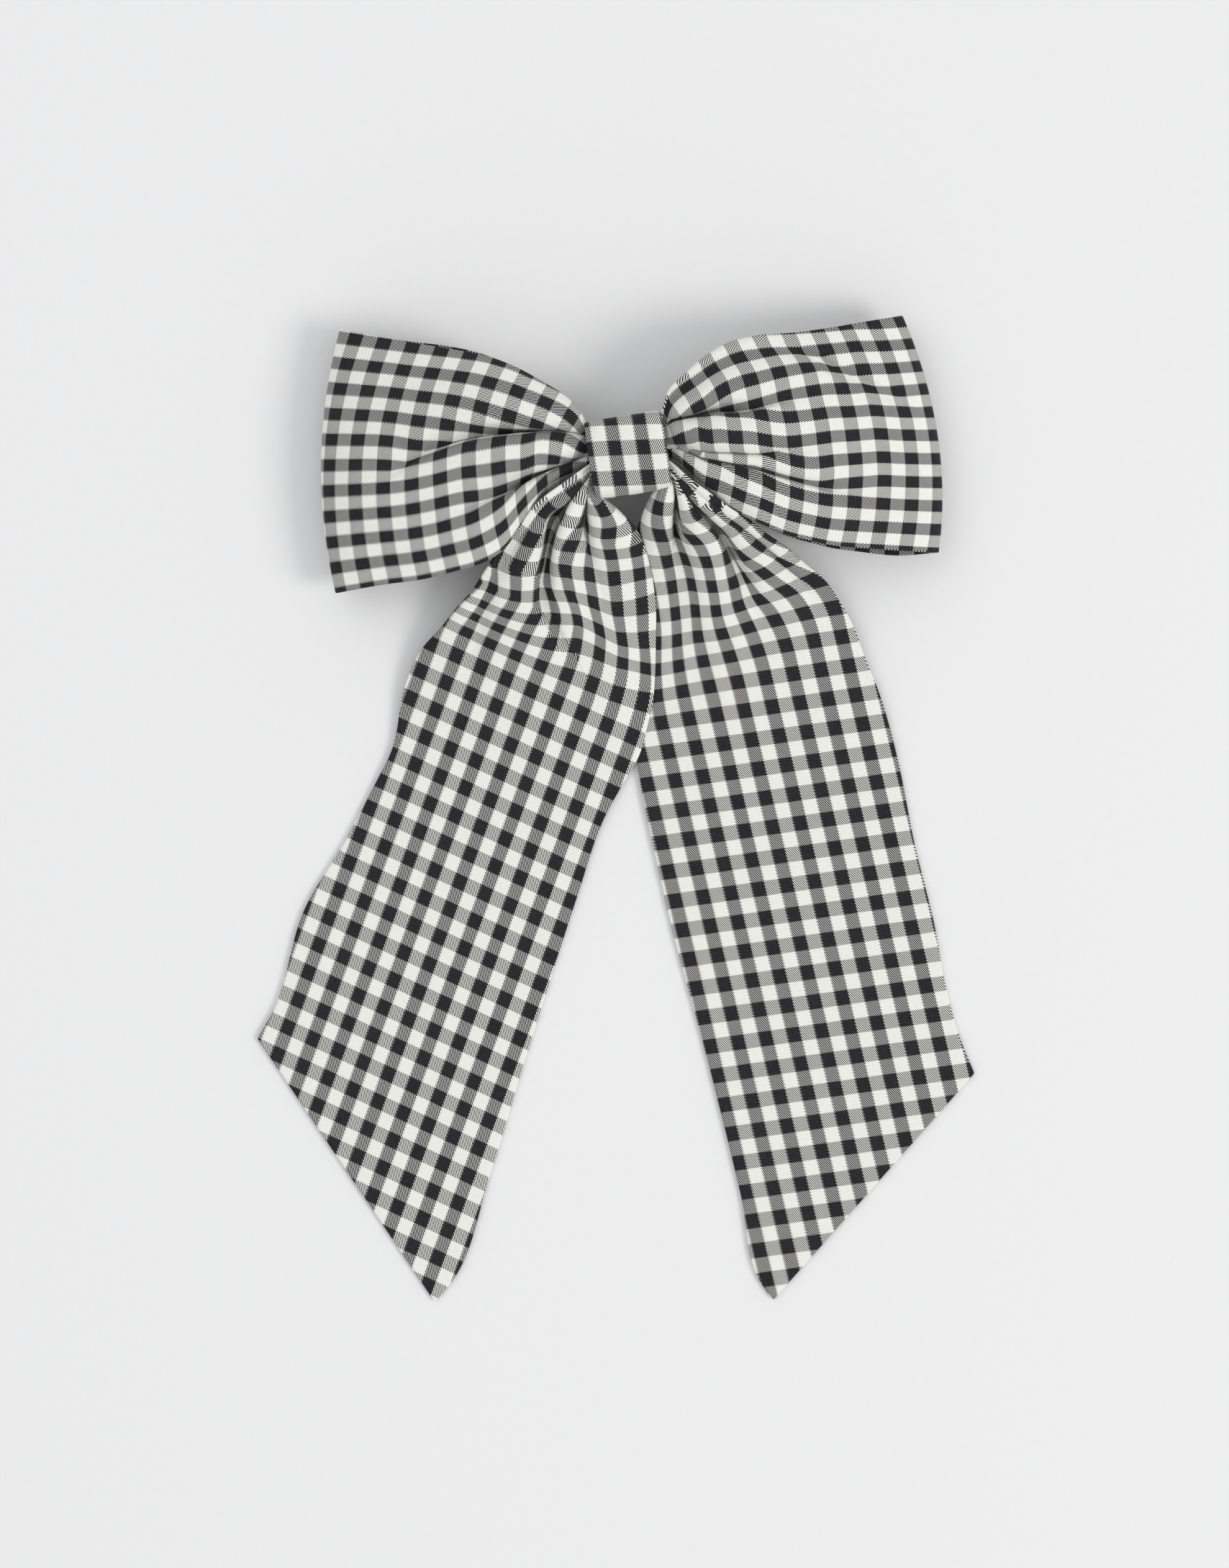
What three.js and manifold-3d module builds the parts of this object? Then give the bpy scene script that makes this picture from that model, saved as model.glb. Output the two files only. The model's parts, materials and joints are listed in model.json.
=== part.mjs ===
// A gingham hair bow on a sprung hair clasp, lying face up: one folded loop band, two long doubled
// tails with slanted ends, a wrapped centre knot, and a curved steel clasp under it that opens.
// Millimetres. X runs along the loops, Y up the bow, Z out of its face. Shapes are laid out from the
// knot's centre on the table; the last lines move the whole bow so that its box stands on the origin.
import * as THREE from "three";
import { mergeVertices } from "three/addons/utils/BufferGeometryUtils.js";
import Module from "manifold-3d";

const wasm = await Module();
wasm.setup();

// ---- Driving dimensions ----
const GAP = 0.3; // air between pieces that touch
const KNOT_TILT = THREE.MathUtils.degToRad(9); // the knot sits a little askew on the loops

const CLOTH = 1.2; // two plies and their interfacing, pressed
const WRAP = { width: 23.4, bottom: -12.1, top: 11.2, low: 13.5, high: 27.6, cloth: 0.9 };
const THREAD = 0.6;

const PLATE = { half: 38, radius: 185, crown: 12.8, gauge: 0.8, width: 9 };
const ARM = { radius: 220, crown: 4, gauge: 0.8, width: 6.6 };
const PIN = { x: -37, z: 2.6, radius: 0.6, eye: 1.5, head: 1.1 };
const RIVET = 0.7;
const SEWING_HOLE = { x: 30, radius: 1.2 };
const SPRING = { x: -33.6, z: 7.9, end: 27.5, gauge: 0.4, width: 6, radius: 230, roll: 0.7, tilt: 0.7 };
const CATCH = { x: 35.4, length: 3.2, pivot: 7.5, top: 7.3, foot: 0.2, barb: 0.3, inner: 1.45, gauge: 0.5 };

const COLOURS = { cloth: 0x8d8d8a, thread: 0xe4e3dc, steel: 0xb9bcc0, spring: 0x9aa0a6 };

// ---- Helpers ----
const asSolid = (geometry) => {
  const bare = geometry.clone();
  bare.deleteAttribute("normal");
  bare.deleteAttribute("uv");
  const merged = mergeVertices(bare, 1e-4);
  const indices = merged.index.array;
  return new wasm.Manifold(
    new wasm.Mesh({
      numProp: 3,
      vertProperties: new Float32Array(merged.attributes.position.array),
      triVerts: new Uint32Array(indices),
    }),
  );
};

const asGeometry = (solid) => {
  const mesh = solid.getMesh();
  const geometry = new THREE.BufferGeometry();
  geometry.setAttribute("position", new THREE.BufferAttribute(mesh.vertProperties, 3));
  geometry.setIndex(new THREE.BufferAttribute(mesh.triVerts, 1));
  geometry.computeVertexNormals();
  return geometry;
};

const join = (...geometries) =>
  asGeometry(geometries.map(asSolid).reduce((whole, next) => whole.add(next)));
const cut = (body, ...tools) =>
  asGeometry(tools.map(asSolid).reduce((whole, tool) => whole.subtract(tool), asSolid(body)));

const cloth = new THREE.MeshStandardMaterial({ color: COLOURS.cloth, roughness: 0.9, metalness: 0 });
const thread = new THREE.MeshStandardMaterial({ color: COLOURS.thread, roughness: 0.8, metalness: 0 });
const steel = new THREE.MeshStandardMaterial({ color: COLOURS.steel, roughness: 0.3, metalness: 1 });
const springSteel = new THREE.MeshStandardMaterial({ color: COLOURS.spring, roughness: 0.4, metalness: 1 });

const piece = (name, geometry, material) => {
  const mesh = new THREE.Mesh(geometry, material);
  mesh.name = name;
  return mesh;
};

// Value at x on straight lines through [x, value] pairs in rising x.
const between = (pairs, x) => {
  const last = pairs.length - 1;
  if (x <= pairs[0][0]) return pairs[0][1];
  if (x >= pairs[last][0]) return pairs[last][1];
  const i = pairs.findIndex((pair) => pair[0] > x);
  const share = (x - pairs[i - 1][0]) / (pairs[i][0] - pairs[i - 1][0]);
  return THREE.MathUtils.lerp(pairs[i - 1][1], pairs[i][1], share);
};

// A closed sheet of cloth around the middle surface middle(s, p), s across and p along, both 0 to 1.
// A ring joins its last row to its first.
function sheet(middle, thickness, columns, rows, ring = false) {
  const step = 1e-3;
  const points = [];
  const rowCount = ring ? rows : rows + 1;
  for (const side of [0.5, -0.5]) {
    for (let row = 0; row < rowCount; row++) {
      for (let column = 0; column <= columns; column++) {
        const s = column / columns;
        const p = row / rows;
        const across = middle(Math.min(s + step, 1), p).sub(middle(Math.max(s - step, 0), p));
        const ahead = ring ? (p + step) % 1 : Math.min(p + step, 1);
        const behind = ring ? (p - step + 1) % 1 : Math.max(p - step, 0);
        const along = middle(s, ahead).sub(middle(s, behind));
        const normal = along.cross(across).normalize();
        points.push(middle(s, p).addScaledVector(normal, side * thickness(s, p)));
      }
    }
  }
  const at = (face, row, column) =>
    (face * rowCount + (row % rowCount)) * (columns + 1) + column;
  const faces = [];
  const quad = (a, b, c, d) => faces.push(a, b, c, a, c, d);
  for (let row = 0; row < rows; row++) {
    for (let column = 0; column < columns; column++) {
      quad(at(0, row, column), at(0, row + 1, column), at(0, row + 1, column + 1), at(0, row, column + 1));
      quad(at(1, row, column), at(1, row, column + 1), at(1, row + 1, column + 1), at(1, row + 1, column));
    }
    quad(at(1, row, 0), at(1, row + 1, 0), at(0, row + 1, 0), at(0, row, 0));
    quad(at(0, row, columns), at(0, row + 1, columns), at(1, row + 1, columns), at(1, row, columns));
  }
  if (!ring) {
    for (let column = 0; column < columns; column++) {
      quad(at(0, 0, column), at(0, 0, column + 1), at(1, 0, column + 1), at(1, 0, column));
      quad(at(1, rows, column), at(1, rows, column + 1), at(0, rows, column + 1), at(0, rows, column));
    }
  }
  const geometry = new THREE.BufferGeometry().setFromPoints(points);
  geometry.setIndex(faces);
  geometry.computeVertexNormals();
  return geometry;
}

// A shape drawn in X and Z, made width wide along Y and centred on Y = 0.
function acrossY(shape, width, curveSegments = 12) {
  const geometry = new THREE.ExtrudeGeometry(shape, { depth: width, bevelEnabled: false, curveSegments });
  return geometry.rotateX(Math.PI / 2).translate(0, width / 2, 0);
}

const post = (radius, low, high, x, y, sides = 20) =>
  new THREE.CylinderGeometry(radius, radius, high - low, sides)
    .rotateX(Math.PI / 2)
    .translate(x, y, (low + high) / 2);

const rod = (radius, length, x, z, sides = 20) =>
  new THREE.CylinderGeometry(radius, radius, length, sides).translate(x, 0, z);

const block = (x0, x1, y0, y1, z0, z1) =>
  new THREE.BoxGeometry(x1 - x0, y1 - y0, z1 - z0).translate((x0 + x1) / 2, (y0 + y1) / 2, (z0 + z1) / 2);

// ---- Loop band: one doubled strip, folded at both outer ends and gathered at its centre ----
// Its line in X and Z, from the front centre over the right fold, back under and over the left fold.
const bandLine = new THREE.CatmullRomCurve3(
  [
    [0, 22.2], [12, 22.6], [30, 25], [55, 23.5], [80, 17.5], [95, 12.8], [98, 9.4], [93, 6.6],
    [78, 5.6], [58, 7.6], [38, 11.4], [30, 13], [20, 15], [12, 16.8], [0, 17.2],
    [-12, 16.8], [-20, 15], [-30, 13], [-38, 11.4], [-58, 7.4], [-76, 5.6], [-91, 6.6],
    [-96.6, 9], [-94, 12], [-80, 17], [-55, 23], [-30, 25], [-12, 22.6],
  ].map(([x, z]) => new THREE.Vector3(x, 0, z)),
  true,
  "centripetal",
);
const BAND_TOP = [
  [-91, 38.2], [-69, 34.3], [-45, 30], [-35, 26.5], [-26, 21.5], [-20, 15.5], [-16, 7.5], [-12, 6],
  [0, 8.2], [12, 9.8], [14.5, 10.2], [18, 20.5], [26, 30.5], [33, 34.4], [42, 36.6], [65, 38.8], [88, 42.7],
];
const BAND_BOTTOM = [
  [-92, -44.3], [-64, -39.8], [-46, -33], [-40, -27], [-33, -18.5], [-26, -11.8], [-19, -7.6],
  [-12, -5.6], [0, -3.8], [12, -1.9], [17, -4.6], [21, -7.4], [26, -11.5], [33, -16], [45, -22.5],
  [57, -27], [75, -30], [98, -31.5],
];
const FOLD_BULGE = 5; // how far the middle of each outer fold stands past its corners
const BUNDLE = { loops: 1.8, slope: 15 };

function bandMiddle(s, p) {
  const point = bandLine.getPointAt(p % 1);
  const y = THREE.MathUtils.lerp(between(BAND_TOP, point.x), between(BAND_BOTTOM, point.x), s);
  const reach = Math.pow(Math.abs(point.x) / 98, 4);
  const x = point.x - Math.sign(point.x) * FOLD_BULGE * reach * Math.pow(2 * s - 1, 2);
  return new THREE.Vector3(x, y, point.z);
}
const bandThickness = (s, p) =>
  CLOTH + BUNDLE.loops * Math.exp(-Math.pow(bandLine.getPointAt(p % 1).x / BUNDLE.slope, 2));

const loopBand = piece("loop_band", sheet(bandMiddle, bandThickness, 6, 64, true), cloth);

// ---- Tails: each a doubled strip, gathered into the knot's side, falling to a slanted end ----
// Both edges from the knot to the hinge line where the pleats run out, then on to the slanted end.
const TAILS = {
  left: {
    outerTop: [[-2, -4.9], [-12, -6.9], [-16, -9.6], [-22, -13.6], [-30, -20], [-39.5, -35.5], [-63, -63], [-72.5, -84.5]],
    innerTop: [[-2, -9.3], [-12, -11], [-12.4, -15.3], [-5, -19.5], [0, -25], [3.6, -34], [4.6, -48], [4.4, -75], [0.2, -104.5]],
    outerFall: [[-72.5, -84.5], [-89, -126], [-116.4, -185.2]],
    innerFall: [[0.2, -104.5], [-16, -147], [-37, -200], [-57.5, -268]],
  },
  right: {
    outerTop: [[2, -4.2], [12, -2.9], [17.5, -7.6], [23, -12.6], [30, -18], [39.6, -23.4], [52, -34], [64.3, -48], [74.3, -65.5], [80.5, -80]],
    innerTop: [[2, -8.7], [13.2, -6.8], [15, -10], [15, -13], [11, -18], [8.4, -28], [6.4, -42], [5.6, -60], [5.4, -80], [5, -100]],
    outerFall: [[80.5, -80], [88, -110], [102.7, -171.8], [109.3, -197]],
    innerFall: [[5, -100], [12.3, -137], [25.9, -200.5], [44, -267.4]],
  },
};
// Height of the cloth's middle over the table, by share of the way from the knot to the hinge line.
const TAIL_HEIGHT = [[0, 20.8], [0.16, 20.6], [0.3, 17.5], [0.5, 11.5], [0.72, 6.4], [0.9, 3.6], [1, 2.8]];
const TAIL_THICKNESS = [[0, 8], [0.16, 7.6], [0.35, 4.5], [0.6, 2.2], [0.85, CLOTH], [1, CLOTH]];
const FALL_HEIGHT = [[0, 2.8], [0.12, 1.3], [0.22, CLOTH / 2], [1, CLOTH / 2]];
const HINGE_HALF_GAP = 0.2;

const edge = (points) =>
  new THREE.CatmullRomCurve3(points.map(([x, y]) => new THREE.Vector3(x, y, 0)), false, "centripetal");

function tailSheet(outer, inner, heights, thicknesses, trim, columns, rows) {
  const [outerEdge, innerEdge] = [edge(outer), edge(inner)];
  const middle = (s, p) => {
    const share = THREE.MathUtils.lerp(trim.start, trim.end, p);
    const point = outerEdge.getPointAt(share).lerp(innerEdge.getPointAt(share), s);
    return point.setZ(between(heights, share));
  };
  return sheet(middle, (s, p) => between(thicknesses, p), columns, rows);
}

function tail(side) {
  const lines = TAILS[side];
  const topTrim = { start: 0, end: 1 - HINGE_HALF_GAP / 100 };
  const fallTrim = { start: HINGE_HALF_GAP / 120, end: 1 };
  const flat = [[0, CLOTH], [1, CLOTH]];
  // The columns run from the outer edge to the inner one, so the right tail is turned face up.
  const flip = side === "left";
  const order = (outer, inner) => (flip ? [outer, inner] : [inner, outer]);
  const top = tailSheet(...order(lines.outerTop, lines.innerTop), TAIL_HEIGHT, TAIL_THICKNESS, topTrim, 5, 22);
  const fall = tailSheet(...order(lines.outerFall, lines.innerFall), FALL_HEIGHT, flat, fallTrim, 5, 12);
  return [piece(`${side}_tail_top`, top, cloth), piece(`${side}_tail_fall`, fall, cloth)];
}

// ---- Knot: threads that hold the gathers, and a doubled strip wrapped over them ----
// A closed band round the bundle, drawn in Y and Z, with rounded corners.
function bandShape(bottom, top, low, high, cloth, radius) {
  const rounded = (path, inset, r) => {
    const [y0, y1, z0, z1] = [bottom + inset, top - inset, low + inset, high - inset];
    path.moveTo(y0 + r, z0);
    path.lineTo(y1 - r, z0);
    path.absarc(y1 - r, z0 + r, r, -Math.PI / 2, 0);
    path.lineTo(y1, z1 - r);
    path.absarc(y1 - r, z1 - r, r, 0, Math.PI / 2);
    path.lineTo(y0 + r, z1);
    path.absarc(y0 + r, z1 - r, r, Math.PI / 2, Math.PI);
    path.lineTo(y0, z0 + r);
    path.absarc(y0 + r, z0 + r, r, Math.PI, Math.PI * 1.5);
    return path;
  };
  const shape = rounded(new THREE.Shape(), 0, radius);
  shape.holes.push(rounded(new THREE.Path(), cloth, Math.max(radius - cloth, 0.4)));
  return shape;
}

// A shape drawn in Y and Z, made width long along X and centred on x.
function alongX(shape, width, x, curveSegments = 6) {
  const geometry = new THREE.ExtrudeGeometry(shape, { depth: width, bevelEnabled: false, curveSegments });
  return geometry.rotateX(Math.PI / 2).rotateZ(Math.PI / 2).translate(x - width / 2, 0, 0);
}

function knot() {
  const group = new THREE.Group();
  group.rotation.z = KNOT_TILT;
  const ring = bandShape(WRAP.bottom, WRAP.top, WRAP.low, WRAP.high, WRAP.cloth, 3.2);
  // The strip's end laps over its start behind the knot, beside the clasp's plate.
  const lapHalf = WRAP.width / 2 - 0.8;
  const lap = block(-lapHalf, lapHalf, -9.4, -6.9, WRAP.low - 0.7, WRAP.low + 0.2);
  group.add(piece("knot_wrap", join(alongX(ring, WRAP.width, 0), lap), cloth));

  const seamTop = WRAP.low - 0.7 - GAP;
  const stitches = [-8, -4, 0, 4, 8].map((x) => block(x - 0.3, x + 0.3, -9, -7.3, seamTop - 0.5, seamTop));
  const runningThread = block(-8, 8, -8.4, -8, seamTop - 0.4, seamTop - 0.1);
  group.add(piece("lap_stitches", join(runningThread, ...stitches), thread));

  const inset = WRAP.cloth + GAP;
  const turn = bandShape(
    WRAP.bottom + inset, WRAP.top - inset, WRAP.low + inset, WRAP.high - inset, THREAD, 1.6,
  );
  const turns = [-1.2, 0, 1.2].map((x) => alongX(turn, THREAD, x, 3));
  const knotTop = WRAP.high - inset;
  const tiedOff = block(-1.5, 1.5, -0.8, 0.8, knotTop - THREAD, knotTop - 0.1);
  group.add(piece("gathering_thread", join(...turns, tiedOff), thread));
  return group;
}

// ---- Clasp: curved plate, pinned arm, tension spring and a pinch catch ----
// Drop of a strip bent to a radius below its crown, at x.
const drop = (x, radius) => radius - Math.sqrt(radius * radius - x * x);
const plateMiddle = (x) => PLATE.crown - drop(x, PLATE.radius);

function bentStrip(from, to, { crown, gauge, width, radius }, steps = 20) {
  const surface = (side) =>
    Array.from({ length: steps + 1 }, (_, i) => {
      const x = THREE.MathUtils.lerp(from, to, i / steps);
      return new THREE.Vector2(x, crown - drop(x, radius) + (side * gauge) / 2);
    });
  return acrossY(new THREE.Shape([...surface(-1), ...surface(1).reverse()]), width);
}

function clipPlate() {
  const strip = bentStrip(-PLATE.half, PLATE.half, PLATE);
  const top = plateMiddle(PIN.x) + 0.3;
  const earRadius = 2;
  const ear = new THREE.Shape();
  ear.moveTo(PIN.x - 1, top);
  ear.lineTo(PIN.x - earRadius, PIN.z + 1.5);
  ear.lineTo(PIN.x - earRadius, PIN.z);
  ear.absarc(PIN.x, PIN.z, earRadius, Math.PI, Math.PI * 2);
  ear.lineTo(PIN.x + 3, top - 0.3);
  const earGauge = 0.7;
  const earMiddle = (PLATE.width - earGauge) / 2;
  const ears = [-earMiddle, earMiddle].map((y) => acrossY(ear, earGauge, 8).translate(0, y, 0));
  const feet = [-earMiddle, earMiddle].map((y) =>
    block(PIN.x - 1, PIN.x + 1, y - earGauge / 2, y + earGauge / 2, 0, 1.2),
  );
  const holes = [-SEWING_HOLE.x, SEWING_HOLE.x].map((x) => post(SEWING_HOLE.radius, 5, 15, x, 0));
  const pinHole = rod(PIN.radius + GAP, 12, PIN.x, PIN.z);
  const rivetHole = post(RIVET + GAP, 5, 15, CATCH.x, 0);
  return cut(join(strip, ...ears, ...feet), ...holes, pinHole, rivetHole);
}

function hingePin() {
  const out = PLATE.width / 2 + GAP;
  const profile = [
    [0, -out - 0.5], [PIN.head, -out - 0.5], [PIN.head, -out], [PIN.radius, -out],
    [PIN.radius, out], [PIN.head, out], [PIN.head, out + 0.5], [0, out + 0.5],
  ].map(([r, y]) => new THREE.Vector2(r, y));
  return new THREE.LatheGeometry(profile, 20).translate(PIN.x, 0, PIN.z);
}

function claspArm() {
  const half = ARM.width / 2;
  const strip = bentStrip(PIN.x + 0.6, PLATE.half + 0.5, ARM);
  const heel = block(PIN.x + 0.4, PIN.x + 2.2, -half, half, PIN.z - 1.7, PIN.z - 0.4);
  const eye = rod(PIN.eye, ARM.width, PIN.x, PIN.z);
  const bore = rod(PIN.radius + GAP, ARM.width + 2, PIN.x, PIN.z);
  const window = block(CATCH.x - 2.2, CATCH.x + 2.2, -2.45, 2.45, -1, 4);
  return cut(join(strip, heel, eye), bore, window);
}

function tensionSpring() {
  const leafShape = { ...SPRING, crown: SPRING.z + drop(SPRING.x, SPRING.radius) };
  const leaf = bentStrip(SPRING.x, SPRING.end, leafShape, 16);
  const roll = rod(SPRING.roll, SPRING.width, SPRING.x, SPRING.z, 12);
  return join(leaf, roll)
    .translate(-SPRING.x, 0, -SPRING.z)
    .rotateY(THREE.MathUtils.degToRad(SPRING.tilt))
    .translate(SPRING.x, 0, SPRING.z);
}

// One leg, drawn in Y and Z: blade, finger tab, and the barb that snaps under the arm.
function catchLeg(side) {
  const { inner, gauge, top, foot, barb, length, x } = CATCH;
  const outer = inner + gauge;
  const outline = [
    [inner, top], [inner, foot], [outer, foot], [outer + barb, foot + 0.2], [outer, foot + 0.4],
    [outer, 4.6], [5.4, 4.3], [5.4, 4.8], [outer, 5.2], [outer, top],
  ].map(([y, z]) => new THREE.Vector2(side * y, z));
  return alongX(new THREE.Shape(outline), length, x);
}

function clasp() {
  const bracket = cut(
    block(CATCH.x - 2, CATCH.x + 2, -2.3, 2.3, CATCH.pivot + 0.1, CATCH.pivot + 0.7),
    post(RIVET + GAP, 5, 10, CATCH.x, 0),
  );
  const plateTop = plateMiddle(CATCH.x) + PLATE.gauge / 2;
  const rivet = join(
    post(RIVET, CATCH.pivot - 0.3, plateTop + 0.5, CATCH.x, 0),
    post(1.1, CATCH.pivot - 0.6, CATCH.pivot - 0.2, CATCH.x, 0),
    post(1.3, plateTop + GAP, plateTop + 0.7, CATCH.x, 0),
  );
  const holeTop = plateMiddle(SEWING_HOLE.x) + PLATE.gauge / 2;
  const tie = (x) =>
    join(
      post(0.8, holeTop - 1.5, holeTop + 0.6, x, 0, 12),
      post(1.7, holeTop - 1.7, holeTop - 1.2, x, 0, 12),
      post(1.7, holeTop + 0.35, holeTop + 0.75, x, 0, 12),
    );
  return [
    piece("clip_plate", clipPlate(), steel),
    piece("hinge_pin", hingePin(), steel),
    piece("clasp_arm", claspArm(), steel),
    piece("tension_spring", tensionSpring(), springSteel),
    piece("catch_bracket", bracket, springSteel),
    piece("catch_rivet", rivet, steel),
    piece("catch_leg_upper", catchLeg(1), springSteel),
    piece("catch_leg_lower", catchLeg(-1), springSteel),
    piece("sewing_tie_left", tie(-SEWING_HOLE.x), thread),
    piece("sewing_tie_right", tie(SEWING_HOLE.x), thread),
  ];
}

// ---- Assembly ----
const bow = new THREE.Group();
bow.add(loopBand, ...tail("left"), ...tail("right"), knot(), ...clasp());
const box = new THREE.Box3().setFromObject(bow, true);
const middle = box.getCenter(new THREE.Vector3());
bow.position.set(-middle.x, -middle.y, -box.min.z);

const hairBow = new THREE.Group();
hairBow.add(bow);
export default hairBow;
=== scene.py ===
"""A large gingham hair bow lying face up on a pale table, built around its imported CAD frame.

The cloth is laid out in millimetres from the knot's centre on the table, X to the right, Y up the bow
and Z out of its face, and each strip is a grid whose UV map holds its flat cloth coordinates in metres.
"""
import json
import math
from collections import namedtuple

import bpy
import numpy as np
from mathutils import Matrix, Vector


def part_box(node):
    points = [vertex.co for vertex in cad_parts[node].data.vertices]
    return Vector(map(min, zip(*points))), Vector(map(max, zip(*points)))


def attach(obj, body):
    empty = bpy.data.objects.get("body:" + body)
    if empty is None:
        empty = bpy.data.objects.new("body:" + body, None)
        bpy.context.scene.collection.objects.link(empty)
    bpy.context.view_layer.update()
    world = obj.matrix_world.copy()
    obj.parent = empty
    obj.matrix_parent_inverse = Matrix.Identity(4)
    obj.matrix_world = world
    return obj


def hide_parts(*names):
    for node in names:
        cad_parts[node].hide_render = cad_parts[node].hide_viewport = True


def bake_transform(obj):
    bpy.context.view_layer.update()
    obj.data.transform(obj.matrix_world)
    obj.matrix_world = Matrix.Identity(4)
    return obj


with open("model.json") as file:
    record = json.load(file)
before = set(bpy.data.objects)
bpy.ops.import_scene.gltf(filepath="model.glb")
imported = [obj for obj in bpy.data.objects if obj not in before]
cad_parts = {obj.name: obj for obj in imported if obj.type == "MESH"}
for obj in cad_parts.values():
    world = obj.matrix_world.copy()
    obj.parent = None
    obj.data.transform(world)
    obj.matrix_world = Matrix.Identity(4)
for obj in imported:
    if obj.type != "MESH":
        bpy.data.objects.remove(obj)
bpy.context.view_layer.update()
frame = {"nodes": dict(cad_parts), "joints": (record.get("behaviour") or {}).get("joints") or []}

MM = 0.001
PLATE_LOW, PLATE_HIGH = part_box("clip_plate")
PLATE_HALF = 0.038  # from the knot's centre to the plate's catch end
KNOT = np.array([PLATE_HIGH.x - PLATE_HALF, (PLATE_LOW.y + PLATE_HIGH.y) / 2, 0])
KNOT_TILT = math.radians(9)

LOOP_STRIP, TAIL_STRIP, KNOT_STRIP = 89.5, 79, 23.8  # widths of the sewn strips
CHECK_ACROSS, CHECK_ALONG = 4.4 * MM, 4.72 * MM
HALF_CLOTH = 0.45  # half the thickness of the two plies
HALF_KNOT_CLOTH = 0.4

CAMERA_HEIGHT = 1.7
CAMERA_OVER = np.array([-4.1, -103.2])  # mm from the knot's centre
FLAT_CENTRE = np.array([-4.1, -104.9])  # the same place in the outlines, which are drawn as seen from above


def drawn(grid):
    """Moves points drawn as they look from above to where they are at their heights."""
    nearer = 1 - grid[..., 2:] * MM / CAMERA_HEIGHT
    placed = CAMERA_OVER + (grid[..., :2] - FLAT_CENTRE) * nearer
    return np.concatenate([placed, grid[..., 2:]], axis=-1)


# ---- Camera, floor and lights ----
def add_camera():
    """Looks straight down, a long way off, at a field 388 mm wide."""
    field, sensor = 0.3882, 36
    data = bpy.data.cameras.new("camera")
    data.sensor_fit = "HORIZONTAL"
    data.sensor_width = sensor
    data.lens = sensor * CAMERA_HEIGHT / field
    data.clip_start, data.clip_end = 0.05, 20
    camera = bpy.data.objects.new("camera", data)
    camera.location = (*(KNOT[:2] + CAMERA_OVER * MM), CAMERA_HEIGHT)
    bpy.context.scene.collection.objects.link(camera)
    bpy.context.scene.camera = camera


def add_light(name, place, size, power, colour):
    """A round lamp that faces the origin."""
    data = bpy.data.lights.new(name, "AREA")
    data.shape = "DISK"
    data.size = size
    data.energy = power
    data.color = colour
    light = bpy.data.objects.new(name, data)
    light.location = place
    light.rotation_euler = (Vector((0, 0, 0)) - Vector(place)).to_track_quat("-Z", "Y").to_euler()
    bpy.context.scene.collection.objects.link(light)


def add_lights():
    """A soft key from the right, a weak fill from the left and a pale sky."""
    add_light("key", place=(2.4, -0.8, 2.0), size=1.4, power=42, colour=(1, 0.99, 0.975))
    add_light("fill", place=(-1.1, 0.7, 1.6), size=1.8, power=7, colour=(0.98, 0.99, 1))
    world = bpy.data.worlds.new("studio")
    world.use_nodes = True
    background = world.node_tree.nodes["Background"]
    background.inputs["Color"].default_value = (0.975, 0.98, 0.985, 1)
    background.inputs["Strength"].default_value = 0.72
    bpy.context.scene.world = world
    bpy.context.scene.view_settings.view_transform = "Standard"


# ---- Materials ----
class Graph:
    """Builds a material's nodes; a value is a number or another node's output."""

    def __init__(self, name):
        self.material = bpy.data.materials.new(name)
        self.material.use_nodes = True
        self.tree = self.material.node_tree
        self.shader = self.tree.nodes["Principled BSDF"]

    def put(self, socket, value):
        if isinstance(value, bpy.types.NodeSocket):
            self.tree.links.new(value, socket)
        else:
            socket.default_value = value

    def node(self, kind, **inputs):
        made = self.tree.nodes.new(kind)
        for name, value in inputs.items():
            self.put(made.inputs[name.replace("_", " ")], value)
        return made

    def math(self, operation, *values):
        made = self.tree.nodes.new("ShaderNodeMath")
        made.operation = operation
        for socket, value in zip(made.inputs, values):
            self.put(socket, value)
        return made.outputs[0]

    def mix(self, share, first, second):
        made = self.tree.nodes.new("ShaderNodeMix")
        made.data_type = "RGBA"
        self.put(made.inputs["Factor"], share)
        for socket, value in zip([s for s in made.inputs if s.type == "RGBA"], (first, second)):
            self.put(socket, value)
        return next(s for s in made.outputs if s.type == "RGBA")

    def surface(self, **inputs):
        for name, value in inputs.items():
            self.put(self.shader.inputs[name.replace("_", " ")], value)
        return self.material


def square(graph, place, pitch):
    """1 on every other stripe of that width, with edges a hair soft."""
    steepness = 6
    wave = graph.math("SINE", graph.math("MULTIPLY", place, math.pi / pitch))
    return graph.math("ADD", graph.math("MULTIPLY", wave, steepness), 0.5)


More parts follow.
